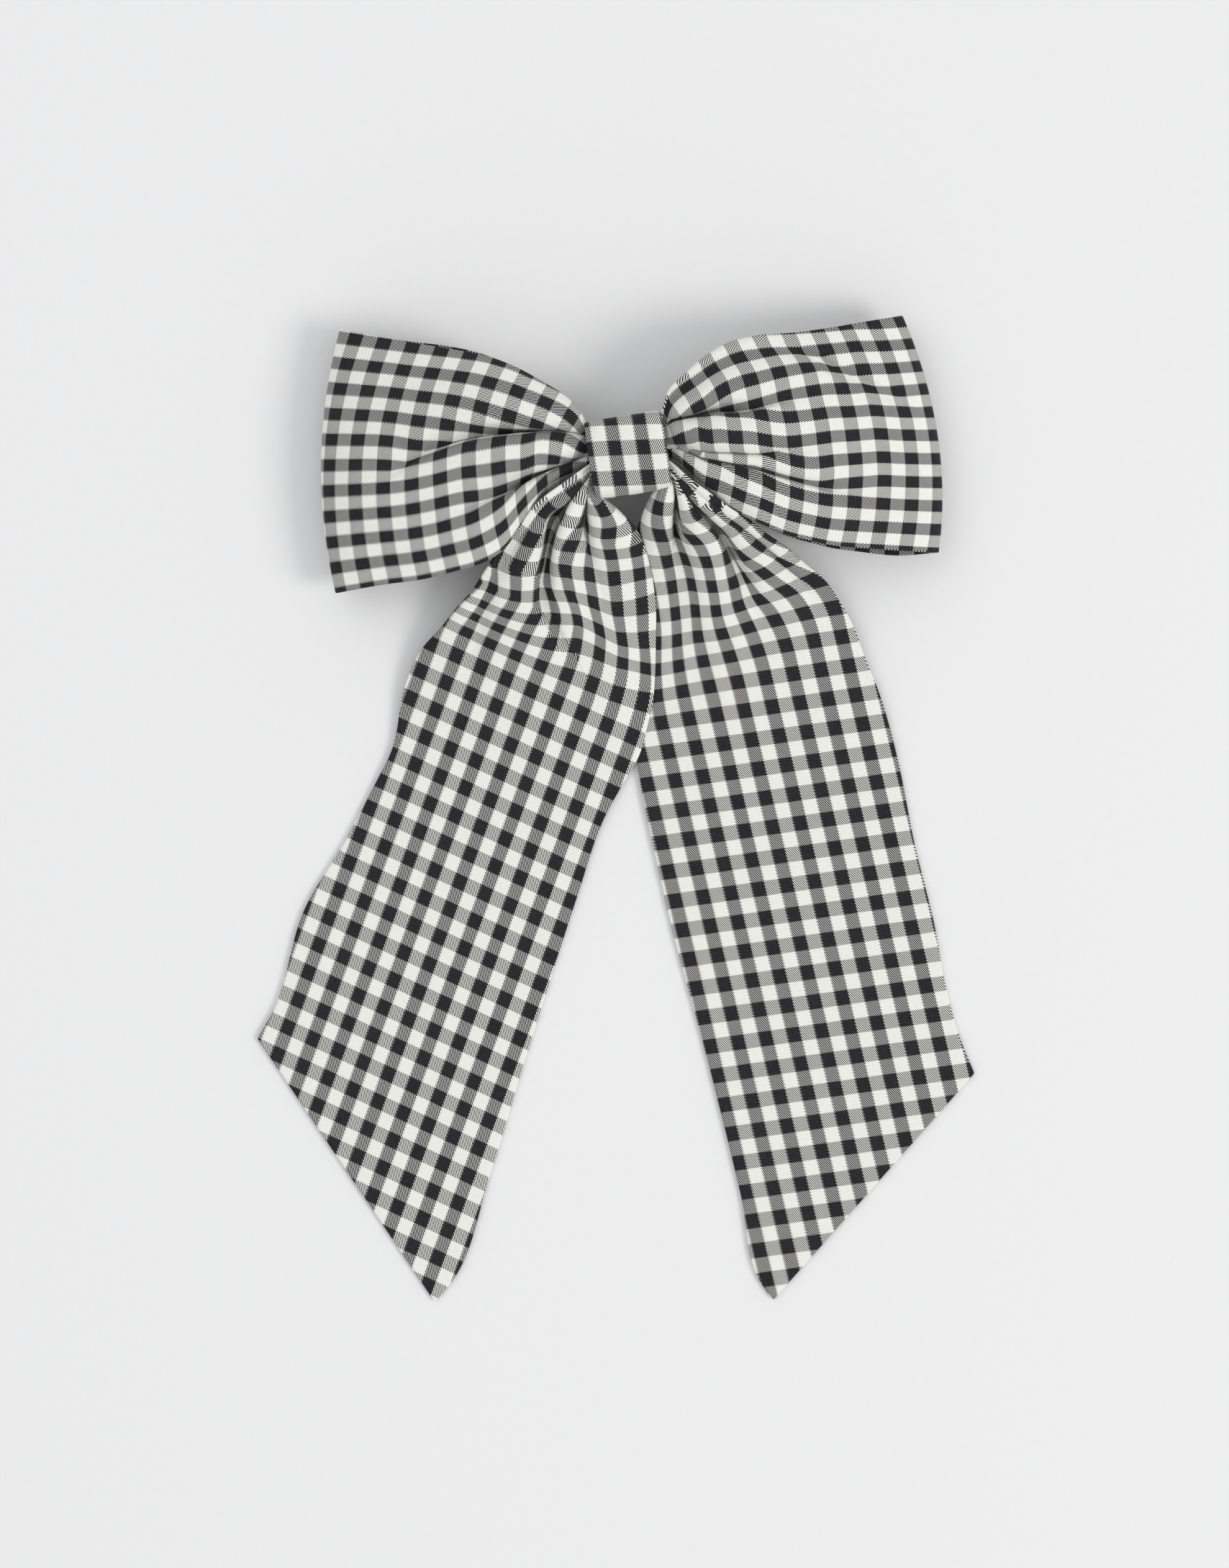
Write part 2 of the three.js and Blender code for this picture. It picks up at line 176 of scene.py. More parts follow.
def gingham(name, shift=(0, 0)):
    """Black and cream twill: stripes of warp along the strip, stripes of weft across it."""
    twill_across, twill_along = 0.63 * MM, 1.0 * MM
    # Of these, the last paints in shade between dark yarns: cells with a black warp are darkened further.
    twill_contrast, warp_faced, black_warp_shade = 1.6, 0.35, 1.15
    cream, black = (0.81, 0.815, 0.765, 1), (0.0125, 0.0112, 0.0145, 1)
    bloom = (0.16, 0.16, 0.165, 1)
    g = Graph(name)
    uv = g.tree.nodes.new("ShaderNodeUVMap")
    uv.uv_map = "cloth"
    parts = g.node("ShaderNodeSeparateXYZ", Vector=uv.outputs["UV"])
    u, v = parts.outputs["X"], parts.outputs["Y"]
    # Each weft pick slants the warp's edges by one tooth of the twill.
    tooth = g.math("SUBTRACT", g.math("FRACT", g.math("DIVIDE", v, twill_along)), 0.5)
    slanted = g.math("SUBTRACT", u, g.math("MULTIPLY", tooth, twill_across))
    warp = square(g, g.math("ADD", slanted, shift[0] * MM), CHECK_ACROSS)
    weft = square(g, g.math("ADD", v, shift[1] * MM), CHECK_ALONG)
    phase = g.math("SUBTRACT", g.math("DIVIDE", u, twill_across), g.math("DIVIDE", v, twill_along))
    wave = g.math("SINE", g.math("MULTIPLY", phase, 2 * math.pi))
    # The weave is warp-faced; where the warp is black, still more of the cell takes its colour, as painted
    # shade on the cream weft sunk between dark yarns.
    dark_warp = g.node("ShaderNodeClamp", Value=warp)
    bias = g.math("ADD", g.math("MULTIPLY", dark_warp.outputs[0], black_warp_shade), warp_faced)
    warp_and_shade_share = g.math("ADD", g.math("MULTIPLY", wave, twill_contrast), bias)
    clamp = g.node("ShaderNodeClamp", Value=warp_and_shade_share)
    warp_colour = g.mix(warp, cream, black)
    weft_colour = g.mix(weft, cream, black)
    woven = g.mix(clamp.outputs[0], weft_colour, warp_colour)
    # Yarns differ a little from one to the next, and the cloth has a faint bloom.
    yarn = g.node("ShaderNodeTexNoise", Vector=uv.outputs["UV"], Scale=900.0, Detail=2.0)
    cloud = g.node("ShaderNodeTexNoise", Vector=uv.outputs["UV"], Scale=60.0, Detail=3.0)
    yarn_share = g.math("MULTIPLY", yarn.outputs[0], 0.3)
    cloud_share = g.math("MULTIPLY", cloud.outputs[0], 0.12)
    uneven = g.math("SUBTRACT", g.math("ADD", yarn_share, cloud_share), 0.14)
    shaded = g.mix(uneven, woven, g.mix(0.5, woven, bloom))
    relief = g.math("ADD", g.math("MULTIPLY", wave, 0.5), g.math("MULTIPLY", yarn.outputs[0], 0.9))
    bump = g.node("ShaderNodeBump", Strength=0.5, Distance=0.06 * MM, Height=relief)
    return g.surface(
        Base_Color=shaded, Roughness=0.86, Sheen_Weight=0.12, Sheen_Roughness=0.4,
        Specular_IOR_Level=0.2, Normal=bump.outputs[0],
    )


def metal(name, colour, roughness, grain):
    """Plated steel, brushed along X, with fine pits and handling marks."""
    g = Graph(name)
    coordinates = g.tree.nodes.new("ShaderNodeTexCoord")
    stretch = g.node("ShaderNodeMapping", Vector=coordinates.outputs["Object"])
    stretch.inputs["Scale"].default_value = (120, 2600, 2600)
    lines = g.node("ShaderNodeTexNoise", Vector=stretch.outputs[0], Scale=1.0, Detail=4.0)
    marks = g.node("ShaderNodeTexNoise", Vector=coordinates.outputs["Object"], Scale=220.0, Detail=5.0)
    dull = g.math("ADD", g.math("MULTIPLY", marks.outputs[0], 0.22), roughness - 0.1)
    tint = g.mix(marks.outputs[0], colour, tuple(0.72 * c for c in colour[:3]) + (1,))
    relief = g.math("ADD", lines.outputs[0], g.math("MULTIPLY", marks.outputs[0], 0.5))
    bump = g.node("ShaderNodeBump", Strength=grain, Distance=0.02 * MM, Height=relief)
    return g.surface(Base_Color=tint, Metallic=1.0, Roughness=dull, Normal=bump.outputs[0])


def thread_material():
    """Two-ply spun thread: slanted plies and stray fuzz."""
    g = Graph("spun_thread")
    coordinates = g.tree.nodes.new("ShaderNodeTexCoord")
    plies = g.node("ShaderNodeTexWave", Vector=coordinates.outputs["Object"], Scale=900.0, Distortion=2.0)
    plies.bands_direction = "DIAGONAL"
    tint = g.mix(plies.outputs["Fac"], (0.5, 0.48, 0.43, 1), (0.82, 0.81, 0.75, 1))
    bump = g.node("ShaderNodeBump", Strength=0.6, Distance=0.08 * MM, Height=plies.outputs["Fac"])
    return g.surface(Base_Color=tint, Roughness=0.8, Sheen_Weight=0.2, Normal=bump.outputs[0])


def floor_material():
    """A pale, matt table with a faint grain."""
    g = Graph("pale_table")
    coordinates = g.tree.nodes.new("ShaderNodeTexCoord")
    grain = g.node("ShaderNodeTexNoise", Vector=coordinates.outputs["Object"], Scale=400.0, Detail=3.0)
    bump = g.node("ShaderNodeBump", Strength=0.05, Distance=0.1 * MM, Height=grain.outputs[0])
    tint = g.mix(grain.outputs[0], (0.79, 0.79, 0.8, 1), (0.81, 0.81, 0.815, 1))
    return g.surface(Base_Color=tint, Roughness=0.7, Specular_IOR_Level=0.3, Normal=bump.outputs[0])


# ---- Smooth lines ----
def spline(at, values, x):
    """A smooth curve through values given at rising places, read at x."""
    at, values = np.asarray(at, float), np.asarray(values, float)
    step = np.diff(at)
    wide = step.reshape(-1, *[1] * (values.ndim - 1))
    chords = np.diff(values, axis=0) / wide
    inner = (chords[:-1] * wide[1:] + chords[1:] * wide[:-1]) / (wide[:-1] + wide[1:])
    slope = np.concatenate([chords[:1], inner, chords[-1:]])
    i = np.clip(np.searchsorted(at, x, side="right") - 1, 0, len(at) - 2)
    shape = (-1,) + (1,) * (values.ndim - 1)
    h = step[i].reshape(shape)
    t = np.clip((x - at[i]) / step[i], 0, 1).reshape(shape)
    a, b = values[i], values[i + 1]
    return (
        a * (2 * t**3 - 3 * t**2 + 1) + b * (3 * t**2 - 2 * t**3)
        + h * slope[i] * (t**3 - 2 * t**2 + t) + h * slope[i + 1] * (t**3 - t**2)
    )


def follow(pairs, x):
    """The value at x of a smooth curve through (place, value) pairs."""
    at, values = zip(*pairs)
    return spline(at, values, np.asarray(x, float))


def lengths(points):
    """How far along a line of points each one is."""
    return np.concatenate([[0], np.cumsum(np.linalg.norm(np.diff(points, axis=0), axis=1))])


class Path:
    """A smooth line through given points, read by the share of its length."""

    def __init__(self, points):
        points = np.array(points, float)
        at = lengths(points)
        self.line = spline(at, points, np.linspace(0, at[-1], 900))
        self.along = lengths(self.line)
        self.length = self.along[-1]

    def at(self, share):
        place = np.clip(share, 0, 1) * self.length
        return np.stack([np.interp(place, self.along, c) for c in self.line.T], axis=-1)


# ---- Pleated strips ----
# A pleat is a valley in a gathered strip. Its line runs from the knot outwards and is given, seen from
# above, by (x, y, depth, before, after, hidden): the valley's depth, the way from its bottom to its lip on
# the first edge's side and on the second edge's side, and how much cloth is tucked away at its bottom. A
# low roundness makes a trough with steep walls and a flat floor.
Pleat = namedtuple("Pleat", "roundness line")
BAND_COLUMNS, SLOPE_COLUMNS = 16, 7  # grid columns on a band between pleats, and on one wall of a pleat
NARROWEST_BAND = 0.6
FULL_SWELL_WIDTH = 8  # a narrower band swells less


def pleat_at(first, second, pleat, ways):
    """A pleat's place on the chord, depth, two widths and hidden cloth, at shares of the way out."""
    line = np.array(pleat.line, float)
    at = lengths(line[:, :2])
    stations = spline(at, line, np.linspace(0, at[-1], 200))
    steps = np.linspace(0, 1, 400)
    a, b = first.at(steps)[:, :2], second.at(steps)[:, :2]
    chord = b - a
    found = []
    for station in stations:
        offset = station[:2] - a
        side = chord[:, 0] * offset[:, 1] - chord[:, 1] * offset[:, 0]
        passed = side * side[-1] > 0
        i = int(np.argmax(passed))
        found.append((steps[i], (offset[i] * chord[i]).sum() / (chord[i] ** 2).sum()))
    way, place = np.array(found).T
    way = np.maximum.accumulate(way)
    return [np.interp(ways, way, field) for field in (place, *stations[:, 2:].T)]


def cross_section(first, second, ways, chord, pleats, swell):
    """Across each row: the share of the chord, the lift, and the cloth tucked away in each step."""
    valleys = [pleat_at(first, second, pleat, ways) for pleat in pleats]
    edges = [np.zeros_like(ways)]
    for place, _, before, after, _ in valleys:
        edges += [place - before / chord, place + after / chord]
    edges.append(np.ones_like(ways))
    gap = NARROWEST_BAND / chord
    for i in range(1, len(edges) - 1):
        edges[i] = np.maximum(edges[i], edges[i - 1] + gap)
    for i in range(len(edges) - 2, 0, -1):
        edges[i] = np.minimum(edges[i], edges[i + 1] - gap)
    last = len(edges) - 2
    zones = []
    for zone, (low, high) in enumerate(zip(edges, edges[1:])):
        if zone % 2:
            zones.append(valley_zone(low, high, valleys[zone // 2], pleats[zone // 2].roundness))
        else:
            puff = follow(swell, ways) * np.minimum(1, (high - low) * chord / FULL_SWELL_WIDTH)
            zones.append(band_zone(low, high, puff, closing=zone == last))
    return [np.hstack(columns) for columns in zip(*zones)]


def valley_zone(low, high, valley, roundness):
    """A pleat's columns, from lip to lip; the hidden cloth lies in the two steps beside its bottom."""
    place, depth, _, _, hidden = valley
    margin = 0.1 * (high - low)
    place = np.clip(place, low + margin, high - margin)
    t = np.linspace(-1, 1, 2 * SLOPE_COLUMNS + 1)[:-1]
    width = np.where(t[None] < 0, (place - low)[:, None], (high - place)[:, None])
    share = place[:, None] + t * width
    lift = -depth[:, None] * np.cos(np.pi / 2 * t) ** roundness
    at_bottom = np.isin(np.arange(len(t)), [SLOPE_COLUMNS - 1, SLOPE_COLUMNS])
    return share, lift, np.where(at_bottom[None], hidden[:, None] / 2, 0)


def band_zone(low, high, puff, closing):
    """The columns of a swollen band between two pleats; only the closing one has its far edge's column."""
    t = np.linspace(0, 1, BAND_COLUMNS + 1)
    if not closing:
        t = t[:-1]
    share = low[:, None] + (high - low)[:, None] * t
    lift = puff[:, None] * np.sin(np.pi * t) ** 0.7
    return share, lift, np.zeros((len(low), BAND_COLUMNS))


def eased(grid, rounds, across=True):
    """The grid with each inner column (or row) drawn towards its neighbours."""
    for _ in range(rounds):
        if across:
            grid[:, 1:-1] = (grid[:, :-2] + 2 * grid[:, 1:-1] + grid[:, 2:]) / 4
        else:
            grid[1:-1] = (grid[:-2] + 2 * grid[1:-1] + grid[2:]) / 4
    return grid


def cloth_across(grid, tucked, start, end):
    """Flat cloth coordinate across the strip: what the pleats don't tuck away is shared evenly."""
    steps = np.linalg.norm(np.diff(grid, axis=1), axis=2)
    stretch = (end - start - tucked.sum(1)) / steps.sum(1)
    steps = steps * stretch[:, None] + tucked
    return start[:, None] + np.hstack([np.zeros((len(steps), 1)), np.cumsum(steps, axis=1)])


def smoothed(field, half):
    """The mean of each row with as many rows before it as after it."""
    padded = np.concatenate([field[:1]] * half + [field] + [field[-1:]] * half)
    total = np.cumsum(np.concatenate([np.zeros_like(padded[:1]), padded]), axis=0)
    return (total[2 * half + 1 :] - total[: -2 * half - 1]) / (2 * half + 1)


def rise(x, low, high):
    """0 below low, 1 above high and smooth between."""
    t = np.clip((x - low) / (high - low), 0, 1)
    return t * t * (3 - 2 * t)


def drift_across(grid, direction):
    """How far each point of a row lies ahead of the row's middle, in the direction that the cloth runs."""
    steps = np.diff(grid, axis=1)
    ahead = np.cumsum((steps * (direction[:, 1:] + direction[:, :-1]) / 2).sum(2), axis=1)
    ahead = np.hstack([np.zeros((len(ahead), 1)), ahead])
    middle = grid.shape[1] // 2
    return ahead - ahead[:, middle : middle + 1]


def yarn_lengths(grid, u, zero_row):
    """How far each point lies along its own warp yarn from where that yarn crosses one row."""
    yarns = np.linspace(u.min(), u.max(), 60)
    tracks = np.array([
        np.stack([np.interp(yarns, places, axis) for axis in points.T], axis=1)
        for places, points in zip(u, grid)
    ])
    steps = np.linalg.norm(np.diff(tracks, axis=0), axis=2)
    along = np.vstack([np.zeros(len(yarns)), np.cumsum(steps, axis=0)])
    along = smoothed((along - along[zero_row]).T, 2).T
    return np.array([np.interp(places, yarns, row) for places, row in zip(u, along)])


def unit(vectors):
    return vectors / np.maximum(np.linalg.norm(vectors, axis=-1, keepdims=True), 1e-9)


def normals(grid, face_up_row):
    """Normals of a grid, the way that makes one row face up on average, and the way across the grid."""
    along = unit(np.gradient(grid, axis=0))
    across = unit(np.gradient(grid, axis=1))
    normal = unit(np.cross(across, along))
    if normal[face_up_row, :, 2].mean() < 0:
        normal = -normal
    return normal, across


def mesh_object(name, vertices, faces, uvs, material):
    """A smooth mesh, from mm round the knot's centre to metres in the row frame."""
    mesh = bpy.data.meshes.new(name)
    mesh.from_pydata((np.asarray(vertices) * MM + KNOT).tolist(), [], faces)
    layer = mesh.uv_layers.new(name="cloth")
    corner = np.array([i for face in faces for i in face])
    layer.uv.foreach_set("vector", (np.asarray(uvs)[corner] * MM).astype(np.float32).ravel())
    mesh.polygons.foreach_set("use_smooth", [True] * len(faces))
    mesh.materials.append(material)
    mesh.update()
    made = bpy.data.objects.new(name, mesh)
    bpy.context.scene.collection.objects.link(made)
    return made


RIM_TURNS = np.radians([40, 90, 140])  # points round a sheet's edge, from its top face to its bottom face
RIM_CLOTH = np.array([0.3, 0.7, 1.0]) * HALF_CLOTH  # cloth across the edge at those points


def rim(edge, normal, outward, half):
    """The points round one long edge of a sheet."""
    points = [edge + half * (np.cos(turn) * normal + np.sin(turn) * outward) for turn in RIM_TURNS]
    return np.stack(points, axis=1)


def rim_columns(edge, sign):
    """A cloth coordinate round an edge: it grows with sign 1, shrinks with -1 and stays with 0."""
    return edge[:, None] + sign * RIM_CLOTH[None]


def ring_faces(rows, around, start):
    """Quads between rings of points numbered from start, and a face on the first and on the last ring."""
    index = start + np.arange(rows * around).reshape(rows, around)
    after = np.roll(index, -1, axis=1)
    quads = np.stack([index[:-1], after[:-1], after[1:], index[1:]], axis=-1).reshape(-1, 4)
    return [*quads.tolist(), index[0, ::-1].tolist(), index[-1].tolist()]


def shell(grid, u, v, half, normal, across, start=0):
    """A closed, round-edged sheet around a grid of points: vertices, faces and uvs."""
    half = np.broadcast_to(half, grid.shape[:1])[:, None, None]
    top, bottom = grid + normal * half, grid - normal * half
    right = rim(grid[:, -1], normal[:, -1], across[:, -1], half[:, 0])
    left = rim(grid[:, 0], normal[:, 0], -across[:, 0], half[:, 0])
    ring = np.concatenate([top, right, bottom[:, ::-1], left[:, ::-1]], axis=1)
    ring_u = np.concatenate([u, rim_columns(u[:, -1], 1), u[:, ::-1], rim_columns(u[:, 0], -1)], axis=1)
    ring_v = np.concatenate([v, rim_columns(v[:, -1], 0), v[:, ::-1], rim_columns(v[:, 0], 0)], axis=1)
    faces = ring_faces(*ring.shape[:2], start)
    return ring.reshape(-1, 3), faces, np.stack([ring_u, ring_v], axis=-1).reshape(-1, 2)


def creases(x, y, size):
    """Low, uneven waves such as handled cloth keeps, about 1 high."""
    # Ways across and along, and phase, of each wave; the later ones are weaker.
    waves = [(0.9, 0.35, 0.4), (-0.55, 1.1, 2.1), (0.25, -0.8, 4.0), (1.7, 0.6, 1.2), (-1.3, 1.5, 5.1)]
    total = 0
    for i, (a, b, phase) in enumerate(waves):
        total = total + np.sin((a * x + b * y) * 2 * np.pi / size + phase) / (1 + i / 2)
    return total / 2.2


# ---- Loops ----
LOOP_REACH = 86  # from the knot's edge to the outer fold, seen from above
LOOP_CREASES = 46  # mm from one handling wave to the next
# (share of the way out, mm): how far bands between pleats swell, and how far the front panel is crowned.
LOOP_SWELL = [(0, 1.8), (0.06, 3), (0.15, 3.2), (0.3, 2.6), (0.5, 1.4), (0.75, 0.3), (1, 0)]
LOOP_CROWN = [(0, 0), (0.15, 1), (0.4, 4.5), (0.7, 5), (0.92, 2.5), (1, 0.5)]
# Side view of a loop: share of the reach, and height. Front from the knot, round the fold, and back.
LOOP_SIDE = [
    (0, 21.3), (0.07, 22.6), (0.18, 24.6), (0.32, 26), (0.5, 25.4), (0.68, 22.6), (0.82, 19),
    (0.92, 15.6), (0.98, 12.4), (1, 9.8), (0.985, 7.6), (0.94, 6.2), (0.85, 5.4), (0.7, 5.6), (0.5, 8.2),
    (0.32, 12), (0.16, 15.2), (0.06, 16.8), (0, 17),
]
LOOPS = {
    "left": {
        "top": [(-9.5, 4), (-13.4, 8.9), (-15.2, 12.7), (-19.1, 16.8), (-26.6, 21.6), (-35.7, 26.6),
                (-44.8, 30), (-55.2, 32), (-68.9, 34.3), (-91, 38.2)],
        "bottom": [(-9, -4.5), (-13.5, -6.2), (-20, -9), (-27, -14), (-33, -21.5), (-40.2, -31.4),
                   (-46.1, -34.8), (-55.2, -37.5), (-64.3, -39.8), (-76.4, -41.4), (-92.3, -44.3)],
        "back_top": [(0, -1), (0.4, -0.4), (0.6, 0.7), (0.8, 0), (1, 0)],
        "back_bottom": [(0, 1), (0.5, 3), (0.8, 2), (1, 0)],
        "bulge": 5.2,
        # Cloth coordinate along the strip at the fold, and how much more at the fold's two ends.
        "fold_line": (6, 3.4, -1.2),
        # (way, under the top edge, under the bottom edge): cloth rolled out of sight at the edges.
        "rolled": [(0, 7, 2), (0.07, 5.5, 2), (0.17, 4.7, 1), (0.25, 3.7, 0), (0.33, 2.7, 0),
                   (0.45, 2.1, 0), (0.65, 1.2, 0), (0.87, 0.3, 0), (1, 0, 0)],
        "pleats": [
            Pleat(0.8, [
                (-13.4, 5.3, 5, 0.5, 0.4, 15.5), (-19.9, 6.3, 8, 0.6, 0.3, 9),
                (-24.5, 6.4, 9, 0.9, 0.3, 6), (-29.2, 6.2, 9, 1.5, 0.4, 4.5),
                (-38.9, 5.3, 7, 3.6, 0.5, 7), (-48.7, 4, 5, 5.5, 0.7, 6), (-57.9, 1.2, 3.4, 6, 1.2, 3.5),
                (-66.3, -2.7, 2, 6, 2, 2), (-73, -6.5, 0.8, 6, 3, 0.5), (-80, -9, 0, 6, 3, 0),
            ]),
            Pleat(0.8, [
                (-12.5, -0.9, 5, 0.5, 0.4, 12), (-16.2, -2.7, 8, 0.7, 0.3, 6),
                (-19.9, -4.1, 8, 0.9, 0.3, 5), (-24.5, -6, 7.5, 1.4, 0.4, 3),
                (-29.2, -8.2, 6.5, 2.4, 0.5, 1.5), (-33.8, -10.8, 4.8, 4.4, 0.7, 4),
                (-38, -13.2, 3.4, 6.5, 0.9, 3.5), (-44.9, -15.8, 2, 7, 1.1, 2),
                (-50.5, -17.4, 0.9, 7, 1.5, 0.5), (-57, -19, 0, 7, 1.5, 0),
            ]),
        ],
    },
    "right": {
        "top": [(8.5, 6), (10.6, 11.1), (13.2, 19.3), (18.9, 25), (25.5, 30.5), (32.7, 34.5),
                (41.4, 36.4), (53, 37.3), (64.5, 38.9), (74.8, 40.7), (87, 42.7)],
        "bottom": [(9.5, -1), (13, -1.8), (16.8, -3.9), (21.1, -8.4), (26.1, -13.6), (32.7, -17.3),
                   (38.4, -20.7), (44.3, -23.2), (50, -25.7), (57.3, -27.5), (64.5, -29.1), (74.8, -30),
                   (85.7, -30.7), (98.4, -31.4)],
        "back_top": [(0, -1), (0.5, -3), (0.8, -2), (1, 0)],
        "back_bottom": [(0, 1), (0.4, 0), (0.7, -1), (0.88, -1.6), (1, 0)],
        "bulge": 5.3,
        "fold_line": (4, 0.4, 1),
        "rolled": [(0, 9, 4), (0.16, 7.2, 2), (0.27, 5.6, 1), (0.38, 4.6, 0), (0.6, 3.9, 0),
                   (0.67, 3.5, 0), (0.82, 2.5, 0), (0.9, 1, 0), (1, 0, 0)],
        "pleats": [
            Pleat(1.2, [
                (38, 31, 0, 2, 2, 0), (46, 32.5, 0.8, 2.5, 2.5, 0.5), (53, 31, 1.8, 3, 3, 1),
                (60, 28.6, 2.2, 3, 3.5, 1.5), (67, 24.6, 2, 3.5, 4, 1), (74, 21, 1.6, 3.5, 4, 1),
                (82, 17, 1, 3.5, 4, 0.5), (90, 12, 0.3, 3.5, 4, 0),
            ]),
            Pleat(0.8, [
                (10.7, 9.3, 5, 0.5, 0.4, 14), (14.5, 10.1, 7.5, 0.6, 0.4, 7),
                (18.1, 10.7, 8.5, 0.8, 0.5, 3), (22.7, 11.8, 7.5, 1, 1.2, 3.5),
                (26.5, 12.4, 6, 2.2, 0.8, 4.5), (32, 12.3, 4.8, 3.5, 0.5, 2.5),
                (38, 12.5, 3.4, 4, 0.6, 2.5), (44, 14.4, 2, 4, 0.8, 1.5), (49, 16, 0.6, 4, 1, 0.5),
                (55, 17, 0, 4, 1, 0),
            ]),
            Pleat(0.8, [
                (18, 1.6, 0, 0.3, 0.3, 0), (22.7, 0.5, 1.4, 0.3, 0.6, 1), (27, 0.1, 2.2, 0.3, 1, 3),
                (32, 0, 2.4, 0.3, 1.2, 2), (41.3, -0.3, 2, 0.3, 1.6, 2.5), (48.7, 0.7, 1.1, 0.5, 2, 1.5),
                (56, 1.5, 0.3, 0.8, 2, 0), (64, 1.5, 0, 1, 2, 0),
            ]),
            Pleat(0.8, [
                (11.6, 2.1, 5, 0.4, 0.4, 15.5), (15.3, 1.2, 7.5, 0.4, 0.3, 10),
                (19.5, -0.4, 8, 0.5, 0.3, 6), (23.7, -2, 7.5, 0.6, 0.3, 0.5),
                (28.3, -3, 6.5, 0.8, 0.3, 0), (33.4, -4.2, 5.2, 1, 0.4, 0), (39.9, -5.7, 4, 1.6, 0.5, 0),
                (48.9, -8.4, 3, 2, 0.7, 1), (58.9, -11, 2, 2.5, 1, 2), (68.2, -12.6, 0.9, 3, 1.5, 1.5),
                (78, -13, 0.4, 3, 2, 0), (86, -13, 0, 3, 2, 0),
            ]),
        ],
    },
}


def rolled_under(shape, ways):
    """Cloth out of sight at the first and at the second edge of each row."""
    at, first, second = np.array(shape["rolled"], float).T
    return np.interp(ways, at, first), np.interp(ways, at, second)


def loop_turn():
    """A loop's side view as a line, from the front of the knot to its back."""
    return Path([(share * LOOP_REACH, height) for share, height in LOOP_SIDE])


def loop_surface(shape, outward, reach, height, behind):
    """A loop's grid of points, each one's share of the way across it, and the cloth tucked away."""
    first, second = Path(shape["top"]), Path(shape["bottom"])
    top, bottom = first.at(reach), second.at(reach)
    top[:, 1] += behind * follow(shape["back_top"], reach)
    bottom[:, 1] += behind * follow(shape["back_bottom"], reach)
    chord = np.linalg.norm(bottom - top, axis=1)
    share, lift, tucked = cross_section(first, second, reach, chord, shape["pleats"], LOOP_SWELL)
    plan = top[:, None] + share[..., None] * (bottom - top)[:, None]
    arch = 4 * share * (1 - share)
    plan[..., 0] += outward * shape["bulge"] * reach[:, None] ** 4 * arch
    # The back panel's pleats are shallow, clear of the clasp, and the front one sinks under the tail.
    soft = 1 - 0.8 * behind
    crown = follow(LOOP_CROWN, reach)
    lift = lift * soft[:, None] + (crown * (1 - 1.6 * behind))[:, None] * (arch - 0.5)
    under_tail = 5.5 * (1 - rise(reach, 0.14, 0.42)) * (1 - behind)
    z = height[:, None] + lift - under_tail[:, None] * share**3
    handled = 0.5 * reach * (1 - reach**6)
    z = z + creases(plan[..., 0], plan[..., 1], LOOP_CREASES) * handled[:, None]
    grid = np.concatenate([plan, z[..., None]], axis=2)
    return eased(eased(grid, 1), 3, across=False), share, tucked


def loop(side):
    """One folded loop: its grid and cloth coordinates, from the front of the knot to its back."""
    shape = LOOPS[side]
    turn = loop_turn()
    rows = np.linspace(0, 1, int(turn.length) + 1)
    reach, height = turn.at(rows).T
    reach = reach / LOOP_REACH
    fold = np.argmax(reach)
    behind = 1 / (1 + np.exp(-(rows - rows[fold]) * 60))  # 0 on the front panel, 1 on the back one
    outward = -1 if side == "left" else 1
    grid, share, tucked = loop_surface(shape, outward, reach, height, behind)
    rolled_top, rolled_bottom = rolled_under(shape, reach)
    u = cloth_across(grid, tucked, rolled_top, LOOP_STRIP - rolled_bottom)
    at_fold, more_at_top, more_at_bottom = shape["fold_line"]
    v = yarn_lengths(grid, u, fold) + at_fold
    v = v + more_at_top * (1 - share) ** 2 + more_at_bottom * share**2
    if side == "right":
        u = CHECK_ACROSS / MM - u  # the band's twill slants on the same way past the knot
    return drawn(grid), u, v


def add_loops(cloth):
    """Both loops, which are one band on the real bow."""
    vertices, faces, uvs = [], [], []
    for side in ("left", "right"):
        grid, u, v = loop(side)
        normal, across = normals(grid, face_up_row=len(grid) // 8)
        start = sum(len(part) for part in vertices)
        points, quads, coordinates = shell(grid, u, v, HALF_CLOTH, normal, across, start)
        vertices.append(points)
        faces += quads
        uvs.append(coordinates)
    piece = mesh_object("gingham_loops", np.vstack(vertices), faces, np.vstack(uvs), cloth)
    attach(piece, "bow")
    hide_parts("loop_band")


# ---- Tails ----
END_ROUNDING = 0.6  # mm over which the slanted end's edge is rounded
TAIL_CREASES = 60  # mm from one handling wave to the next
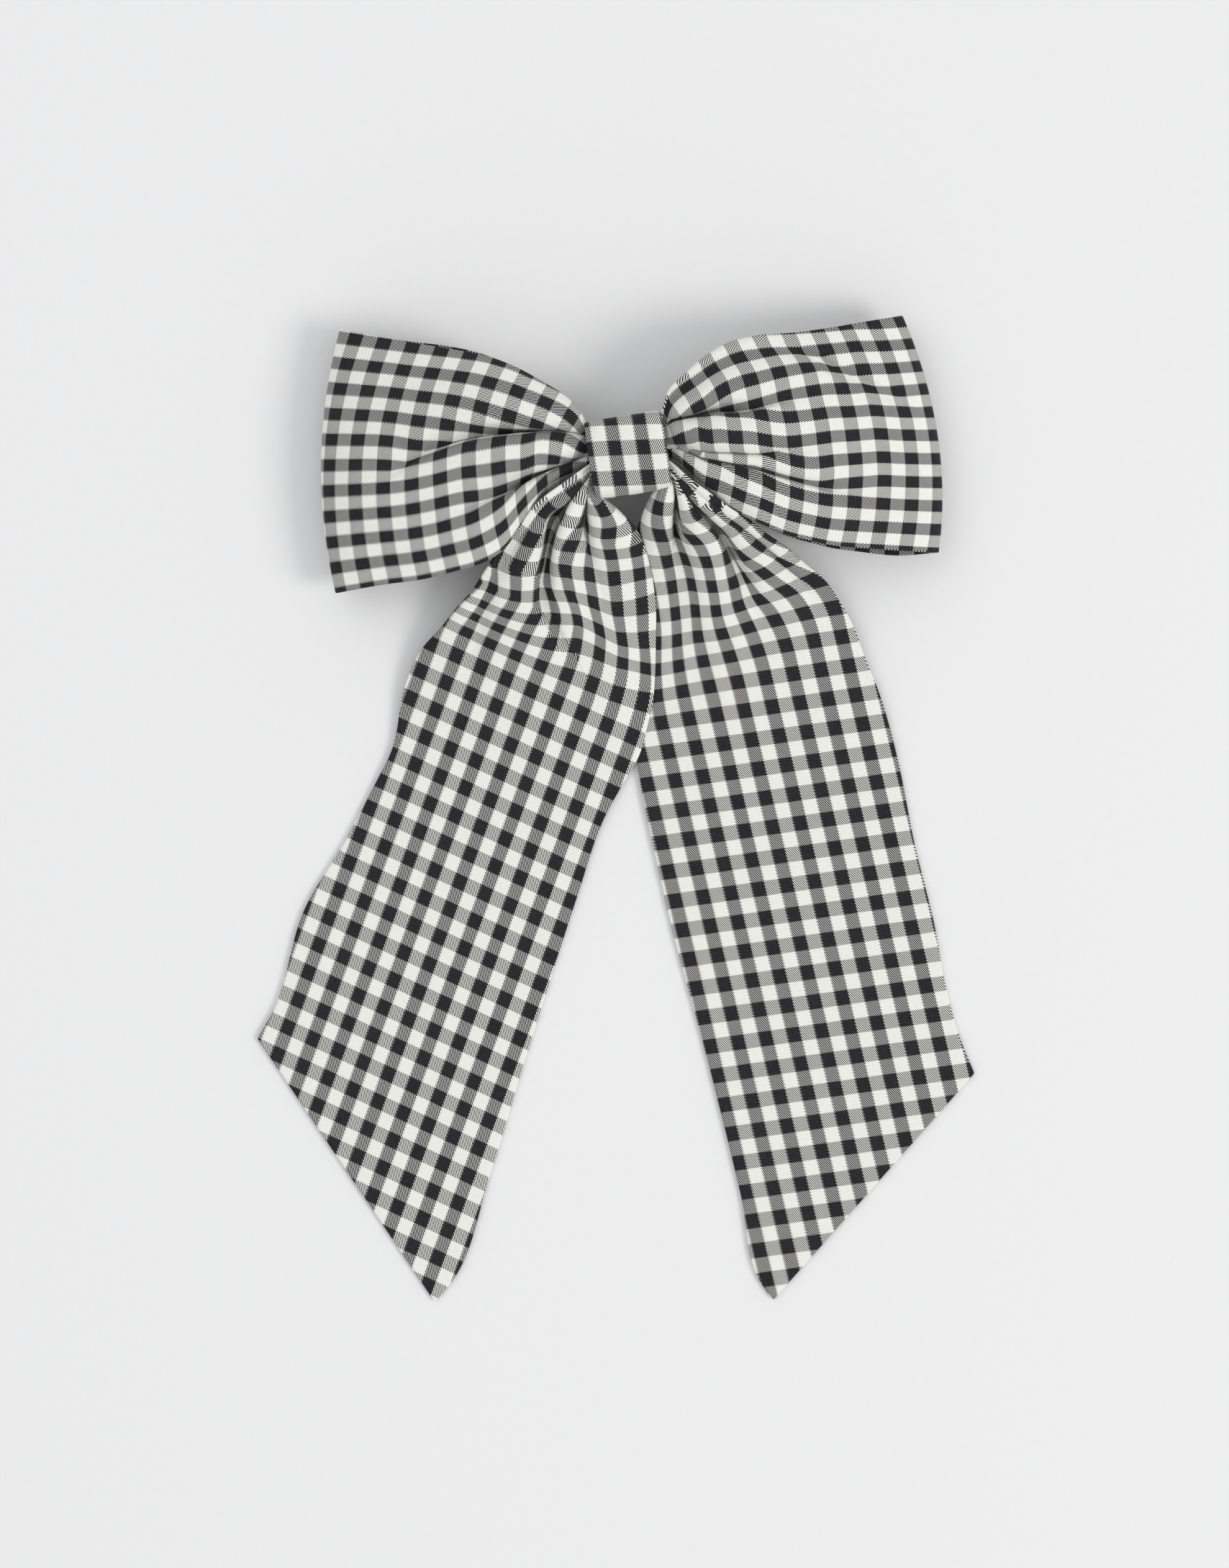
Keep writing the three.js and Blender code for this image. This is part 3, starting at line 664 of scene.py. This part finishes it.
# (share of the way out, mm): how far bands between pleats swell, and how high the handling waves are.
TAIL_SWELL = [(0, 1.4), (0.05, 2), (0.12, 2.2), (0.2, 1.4), (0.3, 0.6), (0.42, 0.1), (0.6, 0), (1, 0)]
TAIL_WAVES = [(0, 0), (0.1, 1), (0.2, 1.2), (0.35, 0.8), (0.5, 0.25), (1, 0.2)]
TAILS = {
    "left": {
        # Where the tail lies flat its checks form an even lattice: one dark square, which column and row of
        # pairs it is in, the ways to the next dark squares, and where along the tail the lattice begins.
        "lay": {"dark": (-43.2, -109.9), "column": 4.44, "row": 13.25, "across": (7.93, -3.69),
                "along": (-3.23, -8.66), "from": (0.22, 0.36)},
        # How far the gathers let the cloth slip along the tail, at places across it.
        "slack": [(0, 1.3), (48, 1.3), (64, -3.2), (79, -3.2)],
        "first": [(-9.5, -2.5, 23), (-13.5, -5.3, 24.3), (-20, -10, 24.9), (-27.5, -15.5, 24.2),
                  (-33.6, -22.7, 22), (-38.9, -29.3, 19), (-44.3, -36.8, 15.2), (-48.9, -44.1, 11.8),
                  (-53.6, -49.3, 9.4), (-58.9, -56.1, 6.8), (-64.3, -62, 4.7), (-69.5, -72.7, 2.6),
                  (-74.3, -95, 1), (-79.3, -105, 0.7), (-89.1, -123.6, 0.6), (-101.6, -144.5, 0.6),
                  (-111.6, -176.8, 0.6), (-116.6, -185.7, 0.6)],
        "second": [(-8, -6, 20.5), (-11.8, -8.8, 21.5), (-10.6, -12.6, 21.8), (-5.7, -16.3, 20.5),
                   (-1.6, -20, 18.4), (1.8, -23.4, 16), (4.3, -28, 13.4), (7, -37.3, 9.6),
                   (8.6, -49.3, 6.6), (8.6, -59.3, 4.8), (8.4, -69.3, 3.4), (7.5, -80, 2.5),
                   (5.7, -87.3, 1.8), (3.2, -96.1, 1.2), (0, -101.6, 0.9), (-7.5, -115, 0.6),
                   (-16.1, -139.8, 0.6), (-24.8, -166.8, 0.6), (-33.4, -194.1, 0.6), (-43.6, -227.7, 0.6),
                   (-56.1, -262.3, 0.6), (-61.1, -268.2, 0.6)],
        "rolled": [(0, 17, 10), (0.05, 17, 8), (0.1, 17.2, 5), (0.13, 17, 1), (0.155, 15.8, 0.4),
                   (0.175, 15, 0), (0.215, 12.3, 0), (0.255, 3.8, 0), (0.3, 2, 0), (0.375, 0.3, 0),
                   (0.45, 0, 0), (1, 0, 0)],
        "pleats": [
            Pleat(1.2, [
                (-35.5, -27.5, 0, 1, 1, 0), (-41, -35.5, 0.8, 2, 3, 1), (-44, -41, 1.6, 2.5, 4, 1.5),
                (-46.3, -47.5, 2, 3, 5, 2), (-47.8, -54.5, 1.8, 3.5, 5.5, 2), (-49, -62, 1.1, 4, 6, 1.5),
                (-50.5, -70, 0.4, 4, 6, 0), (-52, -78, 0, 4, 6, 0),
            ]),
            Pleat(0.5, [
                (-11.8, -7.6, 5, 0.5, 0.5, 12), (-15.2, -11.4, 6, 0.6, 0.6, 10),
                (-18.4, -15.6, 7.5, 0.9, 0.8, 6.5), (-22.6, -20.6, 9.5, 3, 2.4, 1),
                (-24.1, -25, 9, 2.6, 2.3, 1), (-25, -30.2, 7, 2.3, 2.2, 3), (-25.9, -35, 5, 2.5, 2.6, 5),
                (-27, -40.5, 3.4, 2, 4, 3), (-27.6, -46.5, 2.6, 1.6, 5, 0),
                (-26, -52.5, 1.8, 1.2, 5.5, 0), (-22.8, -59, 0.9, 1.4, 5.5, 0), (-19, -65, 0.2, 2, 5, 0),
                (-14, -74, 0, 2, 5, 0),
            ]),
            Pleat(0.7, [
                (-12.3, -9.5, 5, 0.3, 0.3, 9.5), (-12.6, -13.5, 6, 0.4, 0.3, 8),
                (-12.9, -17, 7, 0.8, 0.6, 3.5), (-13.3, -20.3, 6.5, 1.5, 1.4, 3),
                (-13.1, -24, 5, 2, 2, 3.5), (-12.9, -28, 3, 2, 2.2, 3),
                (-12.4, -32.5, 1.5, 2.4, 2.6, 1.5), (-11.5, -38, 0.5, 2.6, 3, 0),
                (-10, -46, 0, 2.6, 3, 0),
            ]),
        ],
    },
    "right": {
        "lay": {"dark": (49.2, -108.5), "column": 4.64, "row": 13.25, "across": (8.77, 1.24),
                "along": (2.21, -9.19), "from": (0.2, 0.36)},
        "slack": [(0, 4), (25, 3.5), (40, 0.5), (60, -1), (79, -2)],
        "first": [(9, -3, 19.5), (10.9, -8.4, 21), (8.3, -12.7, 20), (5.2, -19.3, 16), (3.4, -24.5, 12.4),
                  (3.4, -32, 8.4), (3.8, -42, 4.9), (4.2, -55, 2.6), (4.3, -70, 1.3), (4, -85, 0.8),
                  (3.6, -98.6, 0.6), (5, -107.5, 0.6), (8.6, -124.8, 0.6), (14.8, -152, 0.6),
                  (22.3, -179.3, 0.6), (29.1, -205.5, 0.6), (36.1, -234.3, 0.6), (42.5, -262.3, 0.6),
                  (46.4, -267.5, 0.6)],
        "second": [(9.5, 0, 22), (14, -3.8, 23.6), (20.4, -9.4, 24.8), (27.8, -14.4, 24.6),
                   (32, -17.8, 23.3), (37.3, -20.9, 21.2), (43.9, -26.1, 17.6), (50.7, -30.7, 14.2),
                   (55.9, -35.5, 11.6), (61.4, -40, 9), (66.6, -47.3, 6.4), (71.4, -56.1, 4.4),
                   (74.5, -64.8, 3), (78.6, -74.8, 1.9), (82.5, -87.3, 1.2), (85.2, -98.2, 0.8),
                   (90.5, -124.8, 0.6), (96.6, -149.5, 0.6), (100.2, -169.3, 0.6), (105.2, -186.8, 0.6),
                   (109.3, -196.6, 0.6)],
        "rolled": [(0, 11.5, 13), (0.03, 11.5, 13.5), (0.065, 11.5, 13.8), (0.095, 9.4, 10),
                   (0.117, 7, 5), (0.143, 4.4, 1.5), (0.19, 2, 0.3), (0.245, 0, 0), (1, 0, 0)],
        "pleats": [
            Pleat(0.6, [
                (14, -6, 5, 0.4, 0.4, 9), (14.7, -10.5, 7, 0.6, 0.6, 5), (15.2, -15, 8, 1, 1.2, 1.5),
                (15.2, -19.5, 8, 1.6, 1.6, 0), (15.2, -24, 6, 2, 2.2, 0.5),
                (15.6, -29.5, 3.2, 2.5, 3, 0.5), (16.5, -36, 1.3, 3, 3.5, 0.5),
                (18, -43, 0.4, 3.5, 3.5, 0), (20, -55, 0, 3.5, 3.5, 0),
            ]),
            Pleat(0.6, [
                (14.2, -7.2, 5, 0.4, 0.4, 11), (17.4, -11.8, 7, 0.6, 0.6, 7),
                (21, -16.6, 8, 0.9, 0.9, 4.5), (25.2, -21, 8, 1.2, 1.3, 4),
                (29.5, -25.8, 7, 1.6, 1.7, 4.5), (32.7, -31.4, 5.5, 2, 2, 5),
                (35.3, -37, 3.5, 2.4, 2.4, 4), (38, -43, 1.8, 2.8, 2.8, 2.5), (41, -50, 0.7, 3, 3, 0.5),
                (45, -60, 0, 3, 3, 0),
            ]),
            Pleat(0.8, [
                (26.6, -17, 0, 0.4, 0.4, 0), (30.2, -19.4, 0.8, 0.5, 0.4, 0.5),
                (34.8, -22.6, 1.4, 0.5, 0.4, 0.5), (40.6, -27.2, 1.6, 0.7, 0.5, 0),
                (46.6, -32.6, 1.2, 1, 0.8, 0.5), (52.6, -38.8, 0.6, 1.2, 1, 0),
                (58.6, -46.6, 0, 1.2, 1, 0),
            ]),
        ],
    },
}


def laid_lattice(grid, lay):
    """Cloth coordinates of a tail's even lattice of checks."""
    ways = np.array([lay["across"], lay["along"]])
    pairs = (grid[..., :2] - lay["dark"]) @ np.linalg.inv(ways)
    u = 2 * CHECK_ACROSS / MM * (pairs[..., 0] + lay["column"])
    v = 2 * CHECK_ALONG / MM * (pairs[..., 1] + lay["row"])
    return u, v


def tail_surface(shape, first, second, rows):
    """A tail's grid of points, kept off the table, and the cloth tucked away in its pleats."""
    a, b = first.at(rows), second.at(rows)
    chord = np.linalg.norm((b - a)[:, :2], axis=1)
    share, lift, tucked = cross_section(first, second, rows, chord, shape["pleats"], TAIL_SWELL)
    grid = a[:, None] + share[..., None] * (b - a)[:, None]
    wave = 0.5 * (1 + creases(grid[..., 0], grid[..., 1], TAIL_CREASES))
    grid[..., 2] += lift + follow(TAIL_WAVES, rows)[:, None] * wave
    grid[..., 2] = np.maximum(grid[..., 2], HALF_CLOTH + 0.1)
    return eased(eased(grid, 1), 3, across=False), tucked


def tail_cloth(shape, grid, tucked, rows):
    """A tail's cloth coordinates: along the yarns in the gathers, then on the even lattice."""
    rolled_first, rolled_second = rolled_under(shape, rows)
    u = cloth_across(grid, tucked, rolled_first, TAIL_STRIP - rolled_second)
    middle = grid[:, grid.shape[1] // 2]
    yarn_way = unit(smoothed(np.gradient(grid, axis=0), 10))
    v = lengths(middle)[:, None] + drift_across(grid, yarn_way)
    v = v + np.interp(u, *np.array(shape["slack"], float).T)
    laid_u, laid_v = laid_lattice(grid, shape["lay"])
    settled = rise(rows, *shape["lay"]["from"])[:, None]
    return u + (laid_u - u) * settled, v + (laid_v - v) * settled


def tail(side):
    """A tail's grid, cloth coordinates and half thickness, from the knot to its slanted end."""
    shape = TAILS[side]
    first, second = Path(shape["first"]), Path(shape["second"])
    near_end = 1 - np.array([0.6, 0.35, 0.15, 0]) / first.length
    rows = np.concatenate([np.linspace(0, 1, 260)[:-1], near_end])
    grid, tucked = tail_surface(shape, first, second, rows)
    u, v = tail_cloth(shape, grid, tucked, rows)
    from_end = (1 - rows) * first.length
    rounding = np.clip(1 - from_end / END_ROUNDING, 0, 0.97)
    half = HALF_CLOTH * np.sqrt(1 - rounding**2)
    return drawn(grid), u, v, half


def add_tail(side, cloth):
    """One tail, as it lies; its hinge's joint is read but the tail is not made to bend."""
    grid, u, v, half = tail(side)
    normal, across = normals(grid, face_up_row=len(grid) // 2)
    points, faces, uvs = shell(grid, u, v, half, normal, across)
    piece = mesh_object(f"gingham_{side}_tail", points, faces, uvs, cloth)
    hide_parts(f"{side}_tail_top", f"{side}_tail_fall")
    joint = next(j for j in frame["joints"] if j["name"] == f"{side}_tail_lift")
    down = Vector(joint["axis"]).cross(Vector((0, 0, 1))).normalized()
    if down.y > 0:
        down = -down
    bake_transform(piece)


# ---- Knot ----
def add_knot(cloth):
    """The narrow strip wrapped round the gathers, its ends meeting behind."""
    low, high = 13.95, 27.2  # heights of its back and its front
    bottom, top = -12.6, 11.2
    middle = (low + high) / 2
    corners = [
        (0, low), (bottom + 2.6, low + 0.3), (bottom + 0.5, low + 2.4), (bottom, middle),
        (bottom + 0.2, high - 3.2), (bottom + 1.6, high - 0.8), (bottom + 5, high + 0.1), (0, high + 0.3),
        (top - 4.5, high + 0.1), (top - 1.3, high - 0.8), (top - 0.1, high - 3.2), (top, middle),
        (top - 0.4, low + 2.4), (top - 2.4, low + 0.3), (0, low),
    ]
    ring = Path(corners)
    rows = np.linspace(0, 1, 97)
    y, z = ring.at(rows).T
    columns = np.linspace(-0.5, 0.5, 33)
    # It narrows a little at the top and the bottom, its side edges curl in and its face has faint folds.
    across = columns[None] * KNOT_STRIP * (1 - 0.03 * (np.abs(y)[:, None] / 12) ** 2)
    droop = 1 - 0.03 * (2 * np.abs(columns[None])) ** 6
    folds = 0.22 * np.sin(columns[None] * 17 + np.sin(y[:, None] / 5)) * (1 - (2 * columns[None]) ** 8)
    out_y = y[:, None] * droop
    out_z = (z[:, None] - middle) * droop + middle + folds * (z[:, None] > middle)
    cos, sin = math.cos(KNOT_TILT), math.sin(KNOT_TILT)
    grid = np.stack([across * cos - out_y * sin, across * sin + out_y * cos, out_z + 0 * across], axis=-1)
    u = across + 0 * rows[:, None]
    front = np.argmax(z - np.abs(y))
    v = (rows - rows[front])[:, None] * ring.length + 0.12 * across  # the wrap lies a little askew
    points, faces, uvs = shell(grid, u, v, HALF_KNOT_CLOTH, *normals(grid, face_up_row=front))
    piece = mesh_object("gingham_knot", points, faces, uvs, cloth)
    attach(piece, "bow")
    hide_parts("knot_wrap")


# ---- Metal and thread that the frame already shapes ----
def finish_frame_parts():
    """Gives the clasp and the threads their materials."""
    plated = metal("plated_steel", (0.72, 0.72, 0.73, 1), 0.3, 0.25)
    sprung = metal("spring_steel", (0.6, 0.61, 0.63, 1), 0.36, 0.35)
    spun = thread_material()
    looks = {
        plated: ["clip_plate", "hinge_pin", "clasp_arm", "catch_rivet"],
        sprung: ["tension_spring", "catch_bracket", "catch_leg_upper", "catch_leg_lower"],
        spun: ["lap_stitches", "gathering_thread", "sewing_tie_left", "sewing_tie_right"],
    }
    for material, names in looks.items():
        for name in names:
            slots = frame["nodes"][name].data.materials
            slots.clear()
            slots.append(material)


def add_floor():
    """The table, a hair under the bow."""
    bpy.ops.mesh.primitive_plane_add(size=6, location=(0, 0, -0.0003))
    floor = bpy.context.object
    floor.name = "table"
    floor.data.materials.append(floor_material())


add_camera()
add_lights()
add_floor()
add_loops(gingham("gingham_loops_cloth"))
add_tail("left", gingham("gingham_left_cloth", (-1.7, 0)))
add_tail("right", gingham("gingham_right_cloth", (2.1, 0)))
add_knot(gingham("gingham_knot_cloth", (5.9, 1.2)))
finish_frame_parts()
